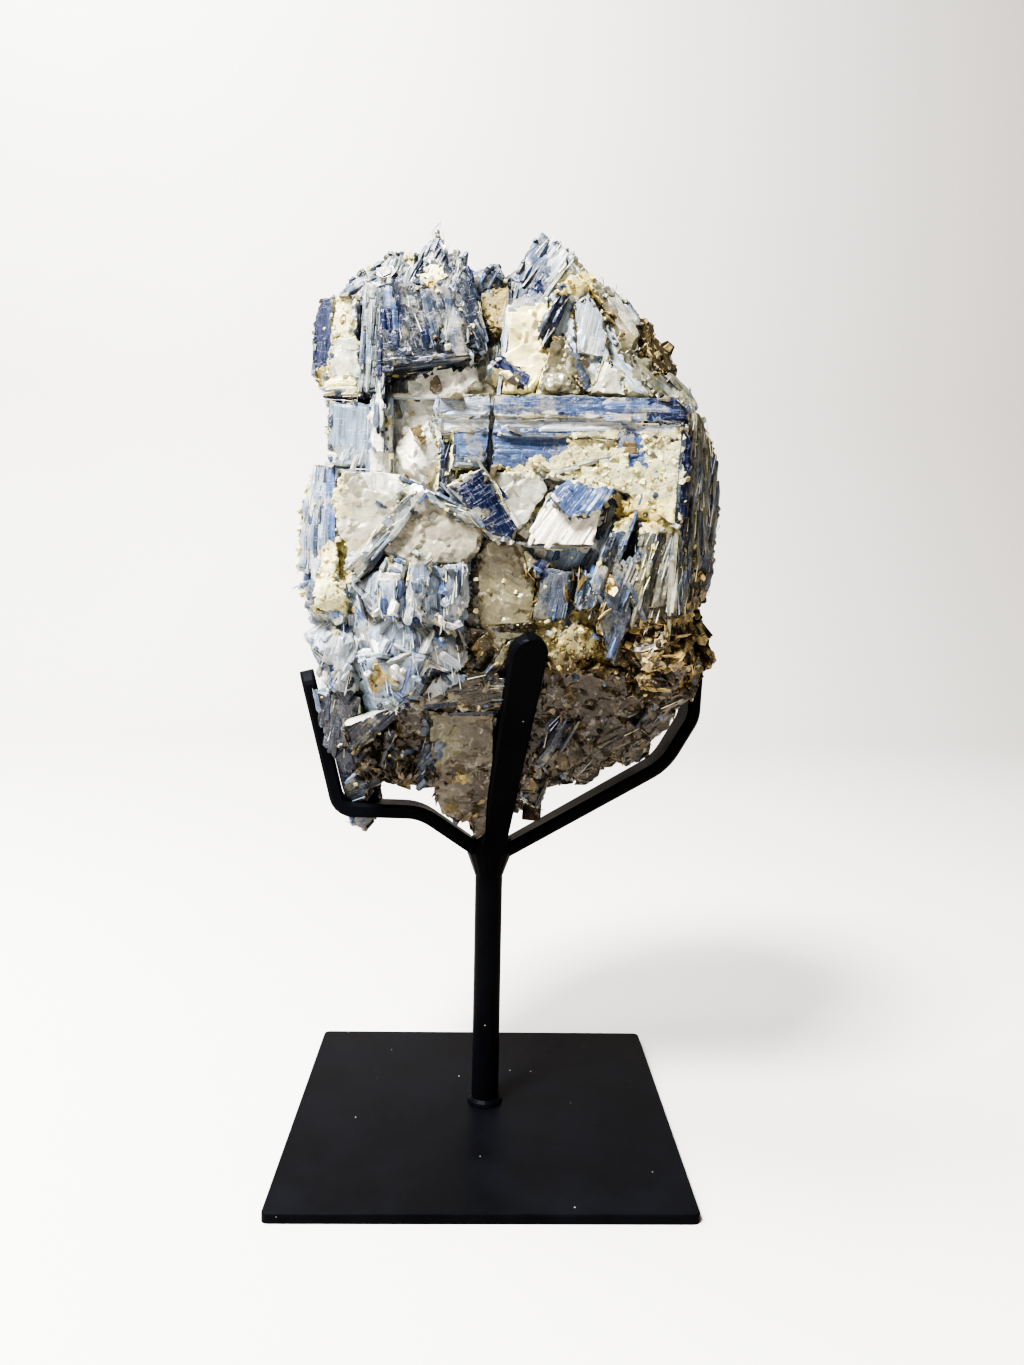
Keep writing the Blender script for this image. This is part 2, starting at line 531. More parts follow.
def quartz_material(weathering):
    """Cloudy quartz with a pale veil, rust in its seams and small flat breaks."""
    material, tree, shader = new_material("quartz")
    own, fray = crystal_tint(tree)
    place = object_place(tree)
    wear = group_with(tree, weathering, {"Fray": fray, "Patch Scale": 90.0})
    cloud = noise_node(tree, place, 85.0, 6.0, 0.62, 0.6)
    veil = noise_node(tree, place, 210.0, 4.0, 0.6, 1.2)
    body = mix_colours(tree, 1.0, own, ramp_between(tree, cloud, 0.3, 0.7, 0.70, 1.35), "MULTIPLY")
    body = layered(tree, body, own, (
        (ramp_between(tree, veil, 0.56, 0.66), 0.6, QUARTZ_VEIL, 0.3),
        (wear.outputs["Stain"], 0.6, QUARTZ_RUST, 0.35),
    ))
    breaks = math_node(tree, "ADD", fracture(tree, place, 120.0), fracture(tree, place, 380.0))
    height = math_node(tree, "ADD", breaks, times(tree, noise_node(tree, place, 900.0, 4.0), 0.0004))
    set_inputs(tree, shader, {
        "Base Color": body,
        "Roughness": ramp_between(tree, noise_node(tree, place, 400.0, 3.0), 0.35, 0.65, 0.12, 0.42),
        "Normal": bump(tree, height, 0.34, 1.0),
        "Subsurface Weight": 0.12,
        "Subsurface Radius": (0.006, 0.005, 0.004),
        "Subsurface Scale": 0.5,
        "IOR": 1.54,
    })
    return material


def crust_material(weathering):
    """Crumbly cream and yellow crust with chalk, rust and a few grey flecks."""
    material, tree, shader = new_material("crust")
    own, fray = crystal_tint(tree)
    place = object_place(tree)
    wear = group_with(tree, weathering, {"Fray": fray, "Patch Scale": 160.0})
    cloud = noise_node(tree, place, 260.0, 5.0, 0.7)
    body = mix_colours(tree, 1.0, own, ramp_between(tree, cloud, 0.3, 0.7, 0.72, 1.28), "MULTIPLY")
    body = layered(tree, body, own, (
        (wear.outputs["Chalk"], 0.6, CRUST_CHALK, 0.4),
        (wear.outputs["Stain"], 0.7, CRUST_RUST, 0.5),
        (ramp_between(tree, noise_node(tree, place, 520.0, 2.0), 0.66, 0.72), 0.5, CRUST_FLECK, 1.0),
    ))
    height = math_node(tree, "ADD", noise_node(tree, place, 900.0, 5.0, 0.7), times(tree, cloud, 0.8))
    set_inputs(tree, shader, {
        "Base Color": body,
        "Roughness": ramp_between(tree, cloud, 0.3, 0.7, 0.55, 0.9),
        "Normal": bump(tree, height, 0.95, 0.0015),
    })
    return material


def mica_material(grain):
    """Brown mica plates with golden glints and a thin gloss."""
    material, tree, shader = new_material("mica")
    own = crystal_tint(tree)[0]
    leaves = group_with(tree, grain, {"Broad Scale": 420.0, "Fine Scale": 1500.0, "Stretch": 0.25})
    broad, fine = leaves.outputs["Broad"], leaves.outputs["Fine"]
    glint = ramp_between(tree, noise_node(tree, object_place(tree), 650.0, 2.0), 0.60, 0.68)
    body = mix_colours(tree, 1.0, own, ramp_between(tree, broad, 0.3, 0.7, 0.5, 1.6), "MULTIPLY")
    height = math_node(tree, "ADD", broad, times(tree, fine, 0.4))
    set_inputs(tree, shader, {
        "Base Color": layered(tree, body, own, ((glint, 0.6, MICA_GLINT, 1.0),)),
        "Roughness": ramp_between(tree, fine, 0.3, 0.7, 0.26, 0.50),
        "Normal": bump(tree, height, 0.5, 0.0007),
        "Coat Weight": 0.12,
        "Coat Roughness": 0.25,
        "IOR": 1.6,
    })
    return material


def black_paint():
    """Satin black paint with a faint orange peel, rubbed patches and pale dust specks."""
    material, tree, shader = new_material("black_paint")
    place = object_place(tree)
    cloud = noise_node(tree, place, 38.0, 4.0, 0.6)
    peel = noise_node(tree, place, 2600.0, 2.0)
    body = mix_colours(tree, ramp_between(tree, cloud, 0.35, 0.7), PAINT_BLACK, PAINT_RUBBED)
    dust = add_node(tree, "ShaderNodeTexVoronoi", {"Vector": place, "Scale": 210.0, "Randomness": 1.0})
    near = ramp_between(tree, dust.outputs["Distance"], 0.035, 0.075, 1.0, 0.0)
    picked = ramp_between(tree, noise_node(tree, place, 90.0, 2.0), 0.60, 0.64)
    set_inputs(tree, shader, {
        "Base Color": mix_colours(tree, times(tree, near, picked), body, DUST_GREY),
        "Roughness": ramp_between(tree, cloud, 0.3, 0.7, 0.34, 0.46),
        "Normal": bump(tree, peel, 0.12, 0.0002),
        "Specular IOR Level": 0.03,
    })
    return material


def floor_material():
    """A pale floor that dulls to the right, and gives back less light than it shows."""
    material, tree, shader = new_material("pale_floor")
    place = object_place(tree)
    tone = mix_colours(tree, noise_node(tree, place, 3.0, 3.0), FLOOR_LOW, FLOOR_HIGH)
    across = add_node(tree, "ShaderNodeSeparateXYZ", {"Vector": place}).outputs["X"]
    tone = mix_colours(tree, ramp_between(tree, across, -0.6, 1.3), tone, FLOOR_DULL)
    tone = mix_colours(tree, seen_by_camera(tree), FLOOR_GIVEN, tone)
    set_inputs(tree, shader, {"Base Color": tone, "Roughness": 0.8})
    return material


# Camera, light and floor

def make_camera():
    flat = math.cos(CAMERA_PITCH)
    forward = Vector((math.sin(CAMERA_YAW) * flat, math.cos(CAMERA_YAW) * flat, -math.sin(CAMERA_PITCH)))
    level = Vector((math.cos(CAMERA_YAW), -math.sin(CAMERA_YAW), 0.0))
    upright = level.cross(forward)
    right = level * math.cos(CAMERA_ROLL) + upright * math.sin(CAMERA_ROLL)
    up = upright * math.cos(CAMERA_ROLL) - level * math.sin(CAMERA_ROLL)
    data = bpy.data.cameras.new("camera")
    data.sensor_width = CAMERA_SENSOR
    data.lens = CAMERA_LENS
    data.clip_start = CAMERA_NEAR
    camera = bpy.data.objects.new("camera", data)
    bpy.context.scene.collection.objects.link(camera)
    turn = Matrix((right, up, -forward)).transposed().to_4x4()
    camera.matrix_world = Matrix.Translation(CAMERA_PLACE) @ turn
    bpy.context.scene.camera = camera


def area_light(name, place, aim, size, power, colour):
    data = bpy.data.lights.new(name, "AREA")
    data.shape = "SQUARE"
    data.size = size
    data.energy = power
    data.color = colour
    light = bpy.data.objects.new(name, data)
    bpy.context.scene.collection.objects.link(light)
    light.location = place
    light.rotation_euler = (Vector(aim) - Vector(place)).to_track_quat("-Z", "Y").to_euler()


def make_light():
    """Pale surroundings that give less light than they show, and the three lights."""
    world = bpy.data.worlds.new("studio")
    bpy.context.scene.world = world
    world.use_nodes = True
    tree = world.node_tree
    strength = ramp_between(tree, seen_by_camera(tree), 0.0, 1.0, WORLD_GIVEN, WORLD_SEEN)
    set_inputs(tree, tree.nodes["Background"], {"Color": WORLD_COLOUR, "Strength": strength})
    for light in LIGHTS:
        area_light(*light)
    bpy.context.scene.view_settings.look = "AgX - High Contrast"


def make_floor(material):
    """A pale floor that sweeps up in a quarter round behind the object."""
    bm = bmesh.new()
    profile = [Vector((-FLOOR_REACH, FLOOR_FRONT, 0.0)), Vector((-FLOOR_REACH, FLOOR_BACK, 0.0))]
    for step in range(1, SWEEP_STEPS + 1):
        angle = math.pi / 2 * step / SWEEP_STEPS
        profile.append(Vector((-FLOOR_REACH, FLOOR_BACK + SWEEP_RADIUS * math.sin(angle),
                               SWEEP_RADIUS * (1 - math.cos(angle)))))
    profile.append(Vector((-FLOOR_REACH, FLOOR_BACK + SWEEP_RADIUS, SWEEP_TOP)))
    verts = [bm.verts.new(point) for point in profile]
    edges = [bm.edges.new(pair) for pair in zip(verts, verts[1:])]
    made = bmesh.ops.extrude_edge_only(bm, edges=edges)
    moved = [item for item in made["geom"] if isinstance(item, bmesh.types.BMVert)]
    bmesh.ops.translate(bm, verts=moved, vec=(2 * FLOOR_REACH, 0.0, 0.0))
    bmesh.ops.recalc_face_normals(bm, faces=bm.faces)
    for face in bm.faces:
        face.smooth = True
    finished(bm, "studio_floor", [material])


# Pieces

def finished(bm, name, materials):
    mesh = bpy.data.meshes.new(name)
    bm.to_mesh(mesh)
    bm.free()
    made = bpy.data.objects.new(name, mesh)
    bpy.context.scene.collection.objects.link(made)
    for material in materials:
        mesh.materials.append(material)
    return made


def on_stone(piece):
    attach(piece, BODY)
    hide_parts(STONE)


def wave(place, per_mm, height, offset=Vector()):
    """Smooth noise at a place in millimetres, of a given fineness and height."""
    return height * noise.noise(place * per_mm + offset)


# Which mineral lies where

def inside(x, z, corners):
    held = False
    for (ax, az), (bx, bz) in zip(corners, corners[1:] + corners[:1]):
        if (az > z) != (bz > z) and x < ax + (z - az) * (bx - ax) / (bz - az):
            held = not held
    return held


def front_patch(point, normal):
    """The patch of the photograph that a point on the front belongs to."""
    if normal.y > -PATCH_FRONT:
        return None
    x, z = point.x / MM, point.z / MM
    for patch in PATCHES:
        if inside(x, z, patch[3]):
            return patch
    return None


def region_deal(point):
    """Mineral and tone of a crystal away from the front, dealt by its place."""
    cell = [round(value / MM / DEAL_CELL) for value in point]
    seed = abs(cell[0] * 7 + cell[1] * 13 + cell[2] * 5)
    place = point / MM
    best, nearest = None, math.inf
    for centre, reach, deal in REGIONS:
        away = Vector([(place[axis] - centre[axis]) / reach[axis] for axis in range(3)]).length
        if away < nearest:
            best, nearest = deal, away
    return best[seed % len(best)]


def laid_grain(degrees, normal, least, other):
    """The way a grain seen in the photograph runs over a face, or the other way given
    where the face hardly shows it."""
    turn = math.radians(degrees)
    wanted = Vector((math.cos(turn), 0.0, math.sin(turn)))
    level = wanted - normal * wanted.dot(normal)
    return level.normalized() if level.length > least else other


class Facet:
    """One flat face of the stone: its triangles, its way out and its grain."""

    def __init__(self, number, faces):
        self.number = number
        self.triangles = [[vertex.co.copy() for vertex in face.verts] for face in faces]
        self.normal = Vector()
        self.centre = Vector()
        for face in faces:
            self.normal += face.normal * face.calc_area()
            self.centre += face.calc_center_median() * face.calc_area()
        self.normal.normalize()
        self.centre /= max(sum(face.calc_area() for face in faces), NO_AREA)
        self.grain = self.long_way()
        patch = front_patch(self.centre, self.normal)
        if patch:
            self.mineral, self.tone = patch[:2]
            self.grain = laid_grain(patch[2], self.normal, FACET_LEVEL, self.grain)
        else:
            self.mineral, self.tone = region_deal(self.centre)

    def long_way(self):
        """The direction in which the facet reaches farthest."""
        side = self.normal.orthogonal().normalized()
        other = self.normal.cross(side)
        a = b = c = 0.0
        for triangle in self.triangles:
            for corner in triangle:
                away = corner - self.centre
                u, v = away.dot(side), away.dot(other)
                a, b, c = a + u * u, b + u * v, c + v * v
        turn = 0.5 * math.atan2(2 * b, a - c)
        return (side * math.cos(turn) + other * math.sin(turn)).normalized()


def find_facets(bm):
    """Groups the stone's triangles into flat facets."""
    layer = bm.faces.layers.int.new("facet")
    for face in bm.faces:
        face[layer] = -1
    facets = []
    for first in bm.faces:
        if first[layer] >= 0:
            continue
        first[layer] = len(facets)
        faces, stack = [first], [first]
        while stack:
            face = stack.pop()
            for edge in face.edges:
                for other in edge.link_faces:
                    if other[layer] < 0 and first.normal.angle(other.normal, math.pi) < FACET_ANGLE:
                        other[layer] = len(facets)
                        faces.append(other)
                        stack.append(other)
        facets.append(Facet(len(facets), faces))
    return facets


def mineral_at(facet, point):
    """Mineral, tone and grain at a point of a facet, with ragged borders."""
    place = point / MM
    shift = noise.noise_vector(place * 0.22) * 2.2 + noise.noise_vector(place * 0.75) * 1.1
    patch = front_patch(point + shift * MM, facet.normal)
    if not patch:
        return facet.mineral, facet.tone, facet.grain
    return patch[0], patch[1], laid_grain(patch[2], facet.normal, POINT_LEVEL, facet.grain)


def varied(tone, dice, spread=0.16):
    """A tone with a little chance in its lightness, warmth and fray."""
    red, green, blue, fray = TONES[tone]
    lift = math.exp(dice.uniform(-spread, spread) * 1.6)
    warm = dice.uniform(-0.05, 0.05)
    fray = min(max(fray + dice.uniform(-0.2, 0.2), 0), 1)
    return red * lift * (1 + warm), green * lift, blue * lift * (1 - warm), fray


# The stone's skin

class Bars:
    """The stand's bars, which the stone's skin and crystals keep clear of."""

    def __init__(self):
        bm = bmesh.new()
        for name in BARS:
            bm.from_mesh(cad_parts[name].data)
        self.tree = BVHTree.FromBMesh(bm)
        bm.free()

    def clear(self, point):
        """Distance in millimetres to the nearest bar."""
        return self.tree.find_nearest(point)[3] / MM

    def ease(self, point):
        """How much relief the skin may have, from none beside a bar to all of it."""
        return min(1.0, max(0.0, (self.clear(point) - SKIN_CLEAR) / SKIN_EASE))


def swell(point, kind):
    """Slow rise and fall of a weathered face about the flat solid, in millimetres."""
    place = point / MM
    rise = wave(place, 0.085, 1.25) + wave(place, 0.21, 0.6, Vector((7.0, 3.0, 1.0)))
    return rise * (0.22 if kind == "panel" else 1.0)


def chipped(point, kind):
    """How far a keen edge is knocked back at a point, in millimetres."""
    place = point / MM
    blow = max(0.0, wave(place, 0.3, 3.2, Vector((11.0, 5.0, 2.0))))
    return (0.25 + blow + abs(wave(place, 0.9, 0.5))) * (0.3 if kind == "panel" else 1.0)


def blade_relief(place, grain):
    """Ribs and low steps drawn out along the grain."""
    drawn = place - grain * place.dot(grain) * 0.93
    step = noise.cell(Vector([round(value * 0.45) for value in drawn]))
    return wave(drawn, 0.9, 0.20) + wave(drawn, 2.1, 0.12) + 0.3 * (step - 0.5)


def quartz_relief(place):
    """Flat breaks some eight millimetres wide, each leaning its own way."""
    near = noise.voronoi(place * 0.12)[1][0]
    return 0.3 * (place - near / 0.12).dot(noise.noise_vector(near * 7.3))


def crust_relief(place):
    return wave(place, 0.4, 0.8) + wave(place, 1.0, 0.5)


def mica_relief(place):
    """Steps of leaves."""
    steps = wave(place, 0.35, 3.0)
    return 0.45 * (steps - math.floor(steps)) - 0.2


OTHER_RELIEFS = {QUARTZ: quartz_relief, CRUST: crust_relief, MICA: mica_relief}


def skin_relief(point, slot, grain):
    """How far the skin stands out from the flat solid at a point, in millimetres."""
    place = point / MM
    if slot == KYANITE:
        return blade_relief(place, grain)
    return OTHER_RELIEFS[slot](place)


def is_sliver(face):
    longest = max(edge.calc_length() for edge in face.edges)
    return face.calc_area() < longest * SLIVER / 2


def split_finely(bm):
    """Halves long edges until none but a sliver's is longer than the skin's edge."""
    limit = FIRST_EDGE
    while limit > SKIN_EDGE:
        limit = max(limit / 2, SKIN_EDGE)
        for repeat in range(2):
            edges = [edge for edge in bm.edges if edge.calc_length() > limit * MM
                     and not any(is_sliver(face) for face in edge.link_faces)]
            if edges:
                bmesh.ops.subdivide_edges(bm, edges=edges, cuts=1)
                bmesh.ops.triangulate(bm, faces=[face for face in bm.faces if len(face.verts) > 3],
                                      quad_method="SHORT_EDGE", ngon_method="EAR_CLIP")
    bmesh.ops.dissolve_degenerate(bm, edges=bm.edges, dist=MERGE)
    bm.normal_update()


def colour_skin(bm, facets, layer, dice):
    """Gives each face its mineral, and its tone as that crystal has it."""
    tint = bm.loops.layers.float_color.new("tint")
    colours = [{} for facet in facets]
    for face in bm.faces:
        facet = facets[face[layer]]
        mineral, tone, along = mineral_at(facet, face.calc_center_median())
        if mineral == "mica":
            tone = "umber"
        known = colours[facet.number]
        if tone not in known:
            known[tone] = varied(tone, dice)
        face.material_index = MINERAL_SLOT[mineral]
        for loop in face.loops:
            loop[tint] = known[tone]


def raise_relief(bm, facets, layer, bars):
    """Moves each vertex out or in by its mineral's relief, and knocks back keen edges."""
    grain = bm.verts.layers.float_vector.new("grain")
    keen = {vertex for edge in bm.edges if edge.is_convex and edge.calc_face_angle(0.0) > KEEN_EDGE
            for vertex in edge.verts}
    moves = []
    for vertex in bm.verts:
        face = max(vertex.link_faces, key=lambda item: item.calc_area())
        kind, tone, along = mineral_at(facets[face[layer]], vertex.co)
        vertex[grain] = along
        relief = skin_relief(vertex.co, face.material_index, along) + swell(vertex.co, kind)
        if vertex in keen:
            relief -= chipped(vertex.co, kind)
        moves.append(relief * bars.ease(vertex.co))
    for vertex, move in zip(bm.verts, moves):
        vertex.co += vertex.normal * move * MM


def stone_skin(materials, bars):
    """The solid's own faces, split finely, given their minerals and a low relief."""
    bm = bmesh.new()
    bm.from_mesh(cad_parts[STONE].data)
    bmesh.ops.remove_doubles(bm, verts=bm.verts, dist=MERGE)
    bm.normal_update()
    facets = find_facets(bm)
    coarse = bm.copy()
    split_finely(bm)
    layer = bm.faces.layers.int["facet"]
    colour_skin(bm, facets, layer, random.Random(SKIN_SEED))
    raise_relief(bm, facets, layer, bars)
    for face in bm.faces:
        face.smooth = face.material_index != QUARTZ
    for edge in bm.edges:
        if len(edge.link_faces) == 2 and edge.calc_face_angle(0.0) > SHARP_EDGE:
            edge.smooth = False
    on_stone(finished(bm, "stone_skin", materials))
    return facets, coarse


# Forms of the small crystals, each one unit long

def form_of(bm):
    """Points and faces of a small crystal, and frees its mesh."""
    bmesh.ops.recalc_face_normals(bm, faces=bm.faces)
    bm.verts.index_update()
    points = [vertex.co.copy() for vertex in bm.verts]
    faces = [[vertex.index for vertex in face.verts] for face in bm.faces]
    bm.free()
    return points, faces


def cut(bm, place, across, clear=False):
    """Cuts the whole mesh with a plane, and can leave out what lies beyond it."""
    return bmesh.ops.bisect_plane(bm, geom=bm.verts[:] + bm.edges[:] + bm.faces[:], plane_co=place,
                                  plane_no=across, clear_outer=clear)


def lath_form(dice):
    """A blade along X, one unit wide and high, with an off-centre ridge and broken ends."""
    bm = bmesh.new()
    bmesh.ops.create_cube(bm, size=1.0)
    bmesh.ops.translate(bm, verts=bm.verts, vec=(0.0, 0.0, 0.5))
    for share in (-0.30, 0.02, 0.32):
        place = (share + dice.uniform(-0.06, 0.06), 0.0, 0.0)
        cut(bm, place, (1.0, dice.uniform(-0.2, 0.2), 0.0))
    ridge = dice.uniform(-0.3, 0.3)
    cut(bm, (0.0, ridge, 0.0), (0.03, 1.0, 0.0))
    slants = (dice.uniform(-0.16, 0.16), dice.uniform(-0.16, 0.16))
    for vertex in bm.verts:
        x, y, z = vertex.co
        if z > 0.9:
            z = 1.0 - 0.7 * abs(y - ridge) * dice.uniform(0.4, 1.0) + dice.uniform(-0.08, 0.08)
        if abs(x) > 0.49:
            slant = slants[0] if x < 0 else slants[1]
            x += slant * y * 0.5 - math.copysign(dice.uniform(0.0, 0.06), x)
            y *= dice.uniform(0.55, 0.95)
            z *= dice.uniform(0.45, 0.95)
        vertex.co = (x, y * (1.0 + dice.uniform(-0.08, 0.08)), z)
    return form_of(bm)


def needle_form(dice):
    """A thin three-sided splinter along X."""
    bm = bmesh.new()
    bmesh.ops.create_cone(bm, cap_ends=True, segments=3, radius1=0.5, radius2=0.16, depth=1.0)
    bmesh.ops.rotate(bm, verts=bm.verts, matrix=Matrix.Rotation(math.radians(90), 3, "Y"))
    for vertex in bm.verts:
        vertex.co.x += dice.uniform(-0.08, 0.08)
    return form_of(bm)


def chip_form(dice, cuts):
    """An angular crumb, a block with its corners struck off."""
    bm = bmesh.new()
    bmesh.ops.create_cube(bm, size=1.0)
    for count in range(cuts):
        away = Vector([dice.uniform(-1, 1) for axis in range(3)]).normalized()
        struck = cut(bm, away * dice.uniform(0.32, 0.46), away, clear=True)
        rim = [item for item in struck["geom_cut"] if isinstance(item, bmesh.types.BMEdge)]
        bmesh.ops.edgeloop_fill(bm, edges=rim)
    return form_of(bm)


def flake_form(dice):
    """A thin plate with an irregular outline and an uneven top."""
    bm = bmesh.new()
    sides = dice.choice((5, 6, 7))
    bmesh.ops.create_cone(bm, cap_ends=True, segments=sides, radius1=0.5, radius2=0.46, depth=1.0)
    for vertex in bm.verts:
        vertex.co.z += 0.0 if vertex.co.z < 0 else dice.uniform(-0.2, 0.2)
    bmesh.ops.scale(bm, verts=bm.verts, vec=(1.0, dice.uniform(0.55, 1.0), 1.0))
    for vertex in bm.verts:
        angle = math.atan2(vertex.co.y, vertex.co.x)
        bulge = 1.0 + 0.22 * math.sin(angle * 2.3 + sides) + 0.12 * math.sin(angle * 4.1 + sides * 2)
        vertex.co.x *= bulge
        vertex.co.y *= bulge
    return form_of(bm)


# Crystals laid over the skin

class Crowd:
    """Many small closed crystals of one mineral, gathered into one mesh."""

    def __init__(self, name, slot):
        self.name = name
        self.slot = slot
        self.bm = bmesh.new()
        self.tint = self.bm.loops.layers.float_color.new("tint")
        self.grain = self.bm.verts.layers.float_vector.new("grain")

    def add(self, form, turn, colour, grain):
        points, faces = form
        verts = []
        for point in points:
            vertex = self.bm.verts.new(turn @ point)
            vertex[self.grain] = grain
            verts.append(vertex)
        for corners in faces:
            face = self.bm.faces.new([verts[index] for index in corners])
            face.material_index = self.slot
            for loop in face.loops:
                loop[self.tint] = colour

    def finish(self, materials):
        on_stone(finished(self.bm, self.name, materials))


def sized(place, axes, sizes):
    """Puts a form at a place, along three axes and with three sizes in millimetres."""
    columns = [axis * size * MM for axis, size in zip(axes, sizes)]
    return Matrix.Translation(place) @ Matrix(columns).transposed().to_4x4()


def turned(direction, degrees, axis):
    return Matrix.Rotation(math.radians(degrees), 3, axis) @ direction


def random_axes(dice, normal, spread):
    """Three axes whose third leans off the normal by up to the spread in degrees."""
    axis = turned(normal.orthogonal().normalized(), dice.uniform(0, 360), normal)
    up = turned(normal, dice.uniform(0, spread), axis)
    along = turned(up.orthogonal().normalized(), dice.uniform(0, 360), up)
    return along, up.cross(along), up


def one_of(dice, small, large):
    """A size out of one of two ranges."""
    return dice.choice((dice.uniform(*small), dice.uniform(*large)))


class Surface:
    """The solid stone's own surface, to strew crystals on."""

    def __init__(self, coarse, facets, bars):
        self.bars = bars
        self.facets = facets
        self.layer = coarse.faces.layers.int["facet"]
        self.tree = BVHTree.FromBMesh(coarse)
        self.spots = [(facet, triangle) for facet in facets for triangle in facet.triangles]
        self.weights = [area_tri(*triangle) for facet, triangle in self.spots]
        self.area = sum(self.weights)

    def strewn(self, dice, spacing):
        """Random points, about one for each square of the given side in millimetres,
        each with its facet, mineral, tone and grain."""
        count = int(self.area / (spacing * MM) ** 2)
        for facet, (a, b, c) in dice.choices(self.spots, self.weights, k=count):
            u, v = dice.random(), dice.random()
            if u + v > 1:
                u, v = 1 - u, 1 - v
            point = a + (b - a) * u + (c - a) * v
            if self.bars.clear(point) > CRYSTAL_CLEAR:
                yield facet, point, *mineral_at(facet, point)

    def facet_of(self, edge):
        return self.facets[edge.link_faces[0][self.layer]]

    def lies_on(self, point, reach):
        found = self.tree.find_nearest(point)
        return found[0] is not None and found[3] < reach * MM


def same_crystal(facet, point, mineral, grain):
    there = mineral_at(facet, point)
    return there[0] == mineral and abs(there[2].dot(grain)) > SAME_GRAIN


def over_crack(*points):
    """Whether a crystal would bridge the open crack in the level panel."""
    sides = [point.x / MM - CRACK_X for point in points]
    level = all(CRACK_LOW < point.z / MM < CRACK_HIGH and point.y / MM < CRACK_DEPTH for point in points)
    return level and (min(sides) * max(sides) < 0 or min(abs(side) for side in sides) < CRACK_CLEAR)


def strew_blades(surface, dice):
    """Blades along the grain: level on the panels, wild among the shards."""
    forms = [lath_form(dice) for count in range(12)]
    crowd = Crowd("kyanite_laths", KYANITE)
    for facet, point, mineral, tone, grain in surface.strewn(dice, BLADE_SPACING):
        if mineral not in BLADE_MANNERS:
            continue
        calm, wild = mineral == "panel", mineral == "shards"
        if calm and dice.random() > PANEL_SHARE:
            continue
        swing, lean, roll, proud = BLADE_MANNERS[mineral]
        normal = facet.normal
        along = turned(grain, dice.gauss(0, swing), normal)
        along = turned(along, dice.gauss(0, lean), normal.cross(along))
        length = dice.uniform(5, 14) if wild else one_of(dice, (6, 14), (12, 34))
        width = one_of(dice, (1, 3), (2, 4.5)) if wild else dice.uniform(0.9, 1.8 + length * 0.09)
        while length > BLADE_SHORTEST:
            spots = [point + along * length * share * MM for share in (-0.5, -0.25, 0.25, 0.5)]
            if all(surface.lies_on(spot, 1.3) and same_crystal(facet, spot, mineral, grain)
                   for spot in spots) and not over_crack(spots[0], spots[3]):
                break
            length *= 0.72
        if length < BLADE_SHORTEST and not wild:
            continue
        side = turned(normal.cross(along).normalized(), dice.gauss(0, roll), along)
        up = along.cross(side).normalized()
        height = dice.uniform(0.12, proud) + BLADE_SUNK
        place = point + normal * (swell(point, mineral) - BLADE_SUNK) * MM
        turn = sized(place, (along.normalized(), side, up), (length, width, height))
        near = SHARD_TONES if wild else NEIGHBOURS.get(tone, (tone,))
        colour = varied(tone, dice, 0.1) if calm else varied(dice.choice(near), dice, 0.2)
        crowd.add(dice.choice(forms), turn, colour, along)
    return crowd


def strew_fibres(surface, dice):
    """Loose pale splinters on the blades."""
    forms = [needle_form(dice) for count in range(6)]
    crowd = Crowd("pale_fibres", KYANITE)
    for facet, point, mineral, tone, grain in surface.strewn(dice, FIBRE_SPACING):
        if mineral not in ("kyanite", "shards") or tone in DARK_TONES and dice.random() < 0.85:
            continue
        if over_crack(point):
            continue
        along = turned(grain, dice.gauss(0, 7), facet.normal)
        along = turned(along, -dice.uniform(-4, 9), facet.normal.cross(along))
        side = facet.normal.cross(along).normalized()
        length, width = dice.uniform(2.5, 9), dice.uniform(0.25, 0.6)
        if not surface.lies_on(point + along * length * 0.5 * MM, 1.6):
            continue
        place = point + facet.normal * (swell(point, mineral) + dice.uniform(0.1, 0.9)) * MM
        turn = sized(place, (along, side, along.cross(side)), (length, width, width))
        colour = varied(dice.choice(FIBRE_TONES), dice)
        crowd.add(dice.choice(forms), turn, colour, along)
    return crowd


def strew_flakes(surface, dice):
    """Plates of mica, alone or in books, thick in the mica and rare elsewhere."""
    forms = [flake_form(dice) for count in range(10)]
    crowd = Crowd("mica_flakes", MICA)
    for facet, point, mineral, tone, grain in surface.strewn(dice, FLAKE_SPACING):
        chance = 1.0 if mineral == "mica" else 0.35 if tone in ("smoky", "umber") else 0.012
        if dice.random() > chance or over_crack(point):
            continue
        if mineral != "mica":
            tone = dice.choice(STRAY_FLAKE_TONES)
        normal = facet.normal
        axes = random_axes(dice, normal, 60)
        up = axes[2]
        width = one_of(dice, (2.0, 4.0), (4.0, 9.0))
        thick = dice.uniform(0.15, 0.4)
        sunk = 0.25 * width * up.cross(normal).length
        place = point + normal * (swell(point, mineral) - sunk) * MM
        shades = (tone, tone, "gold", "gold", "bronze", "umber")
        for leaf in range(dice.choice((1, 2, 3))):
            turn = sized(place + up * leaf * thick * 1.3 * MM, axes, (width, width, thick))
            shade = dice.choice(shades) if mineral == "mica" else tone
            crowd.add(dice.choice(forms), turn, varied(shade, dice, 0.3), axes[0])
            width *= 0.82
    return crowd


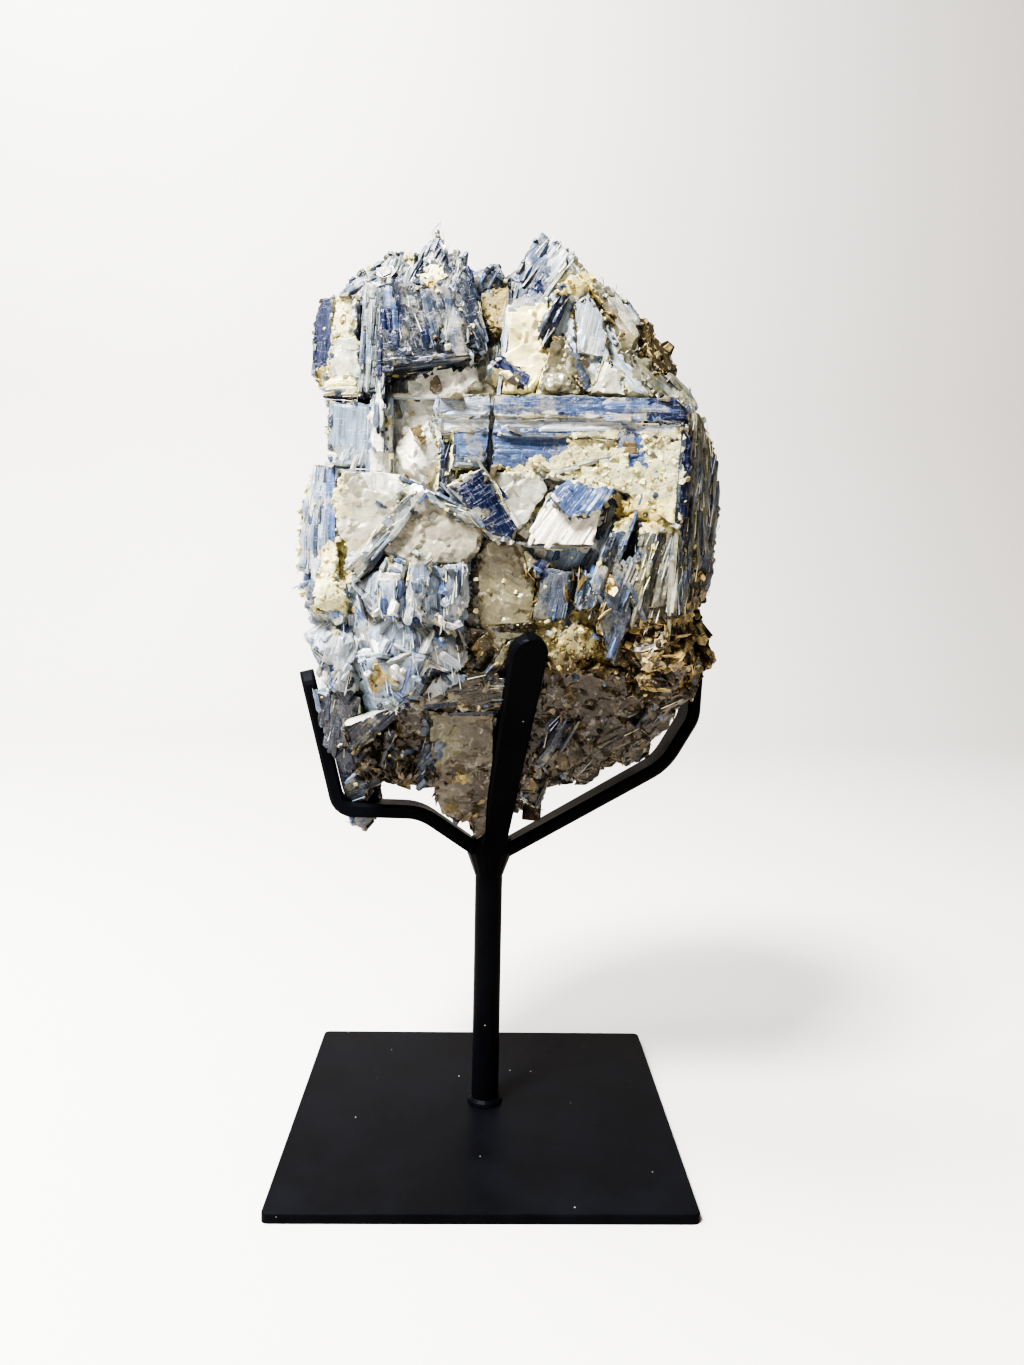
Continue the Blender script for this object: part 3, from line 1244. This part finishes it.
def strew_grains(surface, coarse, dice):
    """Crumbs over the crusts, and along the hollows where crystals meet."""
    forms = [chip_form(dice, 3) for count in range(12)]
    crowd = Crowd("crust_grains", CRUST)

    def crumb(point, normal, tone, size):
        axes = random_axes(dice, normal, 40)
        turn = sized(point, axes, (size, size * dice.uniform(0.7, 1.0), size * dice.uniform(0.4, 0.8)))
        crowd.add(dice.choice(forms), turn, varied(tone, dice, 0.2), axes[0])

    for facet, point, mineral, tone, grain in surface.strewn(dice, GRAIN_SPACING):
        if dice.random() >= GRAIN_CHANCE.get(mineral, 0.04) or over_crack(point):
            continue
        if mineral == "mica" or tone in ("smoky", "grey", "umber"):
            tone = dice.choice(("smoky", "grey", "bronze", "umber"))
        elif mineral != "crust":
            tone = dice.choice(("cream", "yellow", "ochre", tone))
        elif dice.random() < 0.3:
            tone = dice.choice(("cream", "yellow", "ochre", "amber", "silver"))
        rise = facet.normal * swell(point, mineral) * MM
        crumb(point + rise, facet.normal, tone, one_of(dice, (0.5, 1.1), (0.8, 2.2)))
    for edge in coarse.edges:
        if len(edge.link_faces) != 2 or edge.is_convex or edge.calc_face_angle(0.0) < HOLLOW_ANGLE:
            continue
        first, last = (vertex.co for vertex in edge.verts)
        normal = (edge.link_faces[0].normal + edge.link_faces[1].normal).normalized()
        facet = surface.facet_of(edge)
        for count in range(int((last - first).length / (HOLLOW_SPACING * MM))):
            point = first.lerp(last, dice.random()) + normal * dice.uniform(0.0, 0.6) * MM
            if surface.bars.clear(point) < CRYSTAL_CLEAR or over_crack(point):
                continue
            tone = mineral_at(facet, point)[1]
            choice = ("cream", "ochre", "mist", "steel", tone, tone)
            if tone in ("smoky", "grey", "umber", "bronze", "gold"):
                choice = ("smoky", "umber", "bronze", "grey")
            crumb(point, normal, dice.choice(choice), dice.uniform(0.5, 2.0))
    return crowd


def strew_chips(surface, dice):
    """Flat splinters on the quartz."""
    forms = [chip_form(dice, 7) for count in range(10)]
    crowd = Crowd("quartz_chips", QUARTZ)
    for facet, point, mineral, tone, grain in surface.strewn(dice, CHIP_SPACING):
        if mineral != "quartz" or dice.random() > 0.16:
            continue
        axes = random_axes(dice, facet.normal, 14)
        size = one_of(dice, (2.0, 5.0), (5.0, 10.0))
        sizes = (size, size * dice.uniform(0.5, 0.9), size * dice.uniform(0.18, 0.30))
        turn = sized(point - facet.normal * 0.10 * size * MM, axes, sizes)
        crowd.add(dice.choice(forms), turn, varied(tone, dice, 0.08), axes[0])
    return crowd


def dress_stand(paint):
    for name in ("base_plate", *BARS):
        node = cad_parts[name]
        if node.data.materials:
            node.data.materials[0] = paint
        else:
            node.data.materials.append(paint)


def main():
    noise.seed_set(NOISE_SEED)
    make_camera()
    make_light()
    make_floor(floor_material())
    grain = grain_group()
    weathering = weathering_group()
    minerals = [kyanite_material(grain, weathering), quartz_material(weathering), crust_material(weathering),
                mica_material(grain)]
    bars = Bars()
    facets, coarse = stone_skin(minerals, bars)
    surface = Surface(coarse, facets, bars)
    dice = random.Random(CRYSTAL_SEED)
    for crowd in (strew_blades(surface, dice), strew_fibres(surface, dice), strew_flakes(surface, dice),
                  strew_grains(surface, coarse, dice), strew_chips(surface, dice)):
        crowd.finish(minerals)
    dress_stand(black_paint())


main()
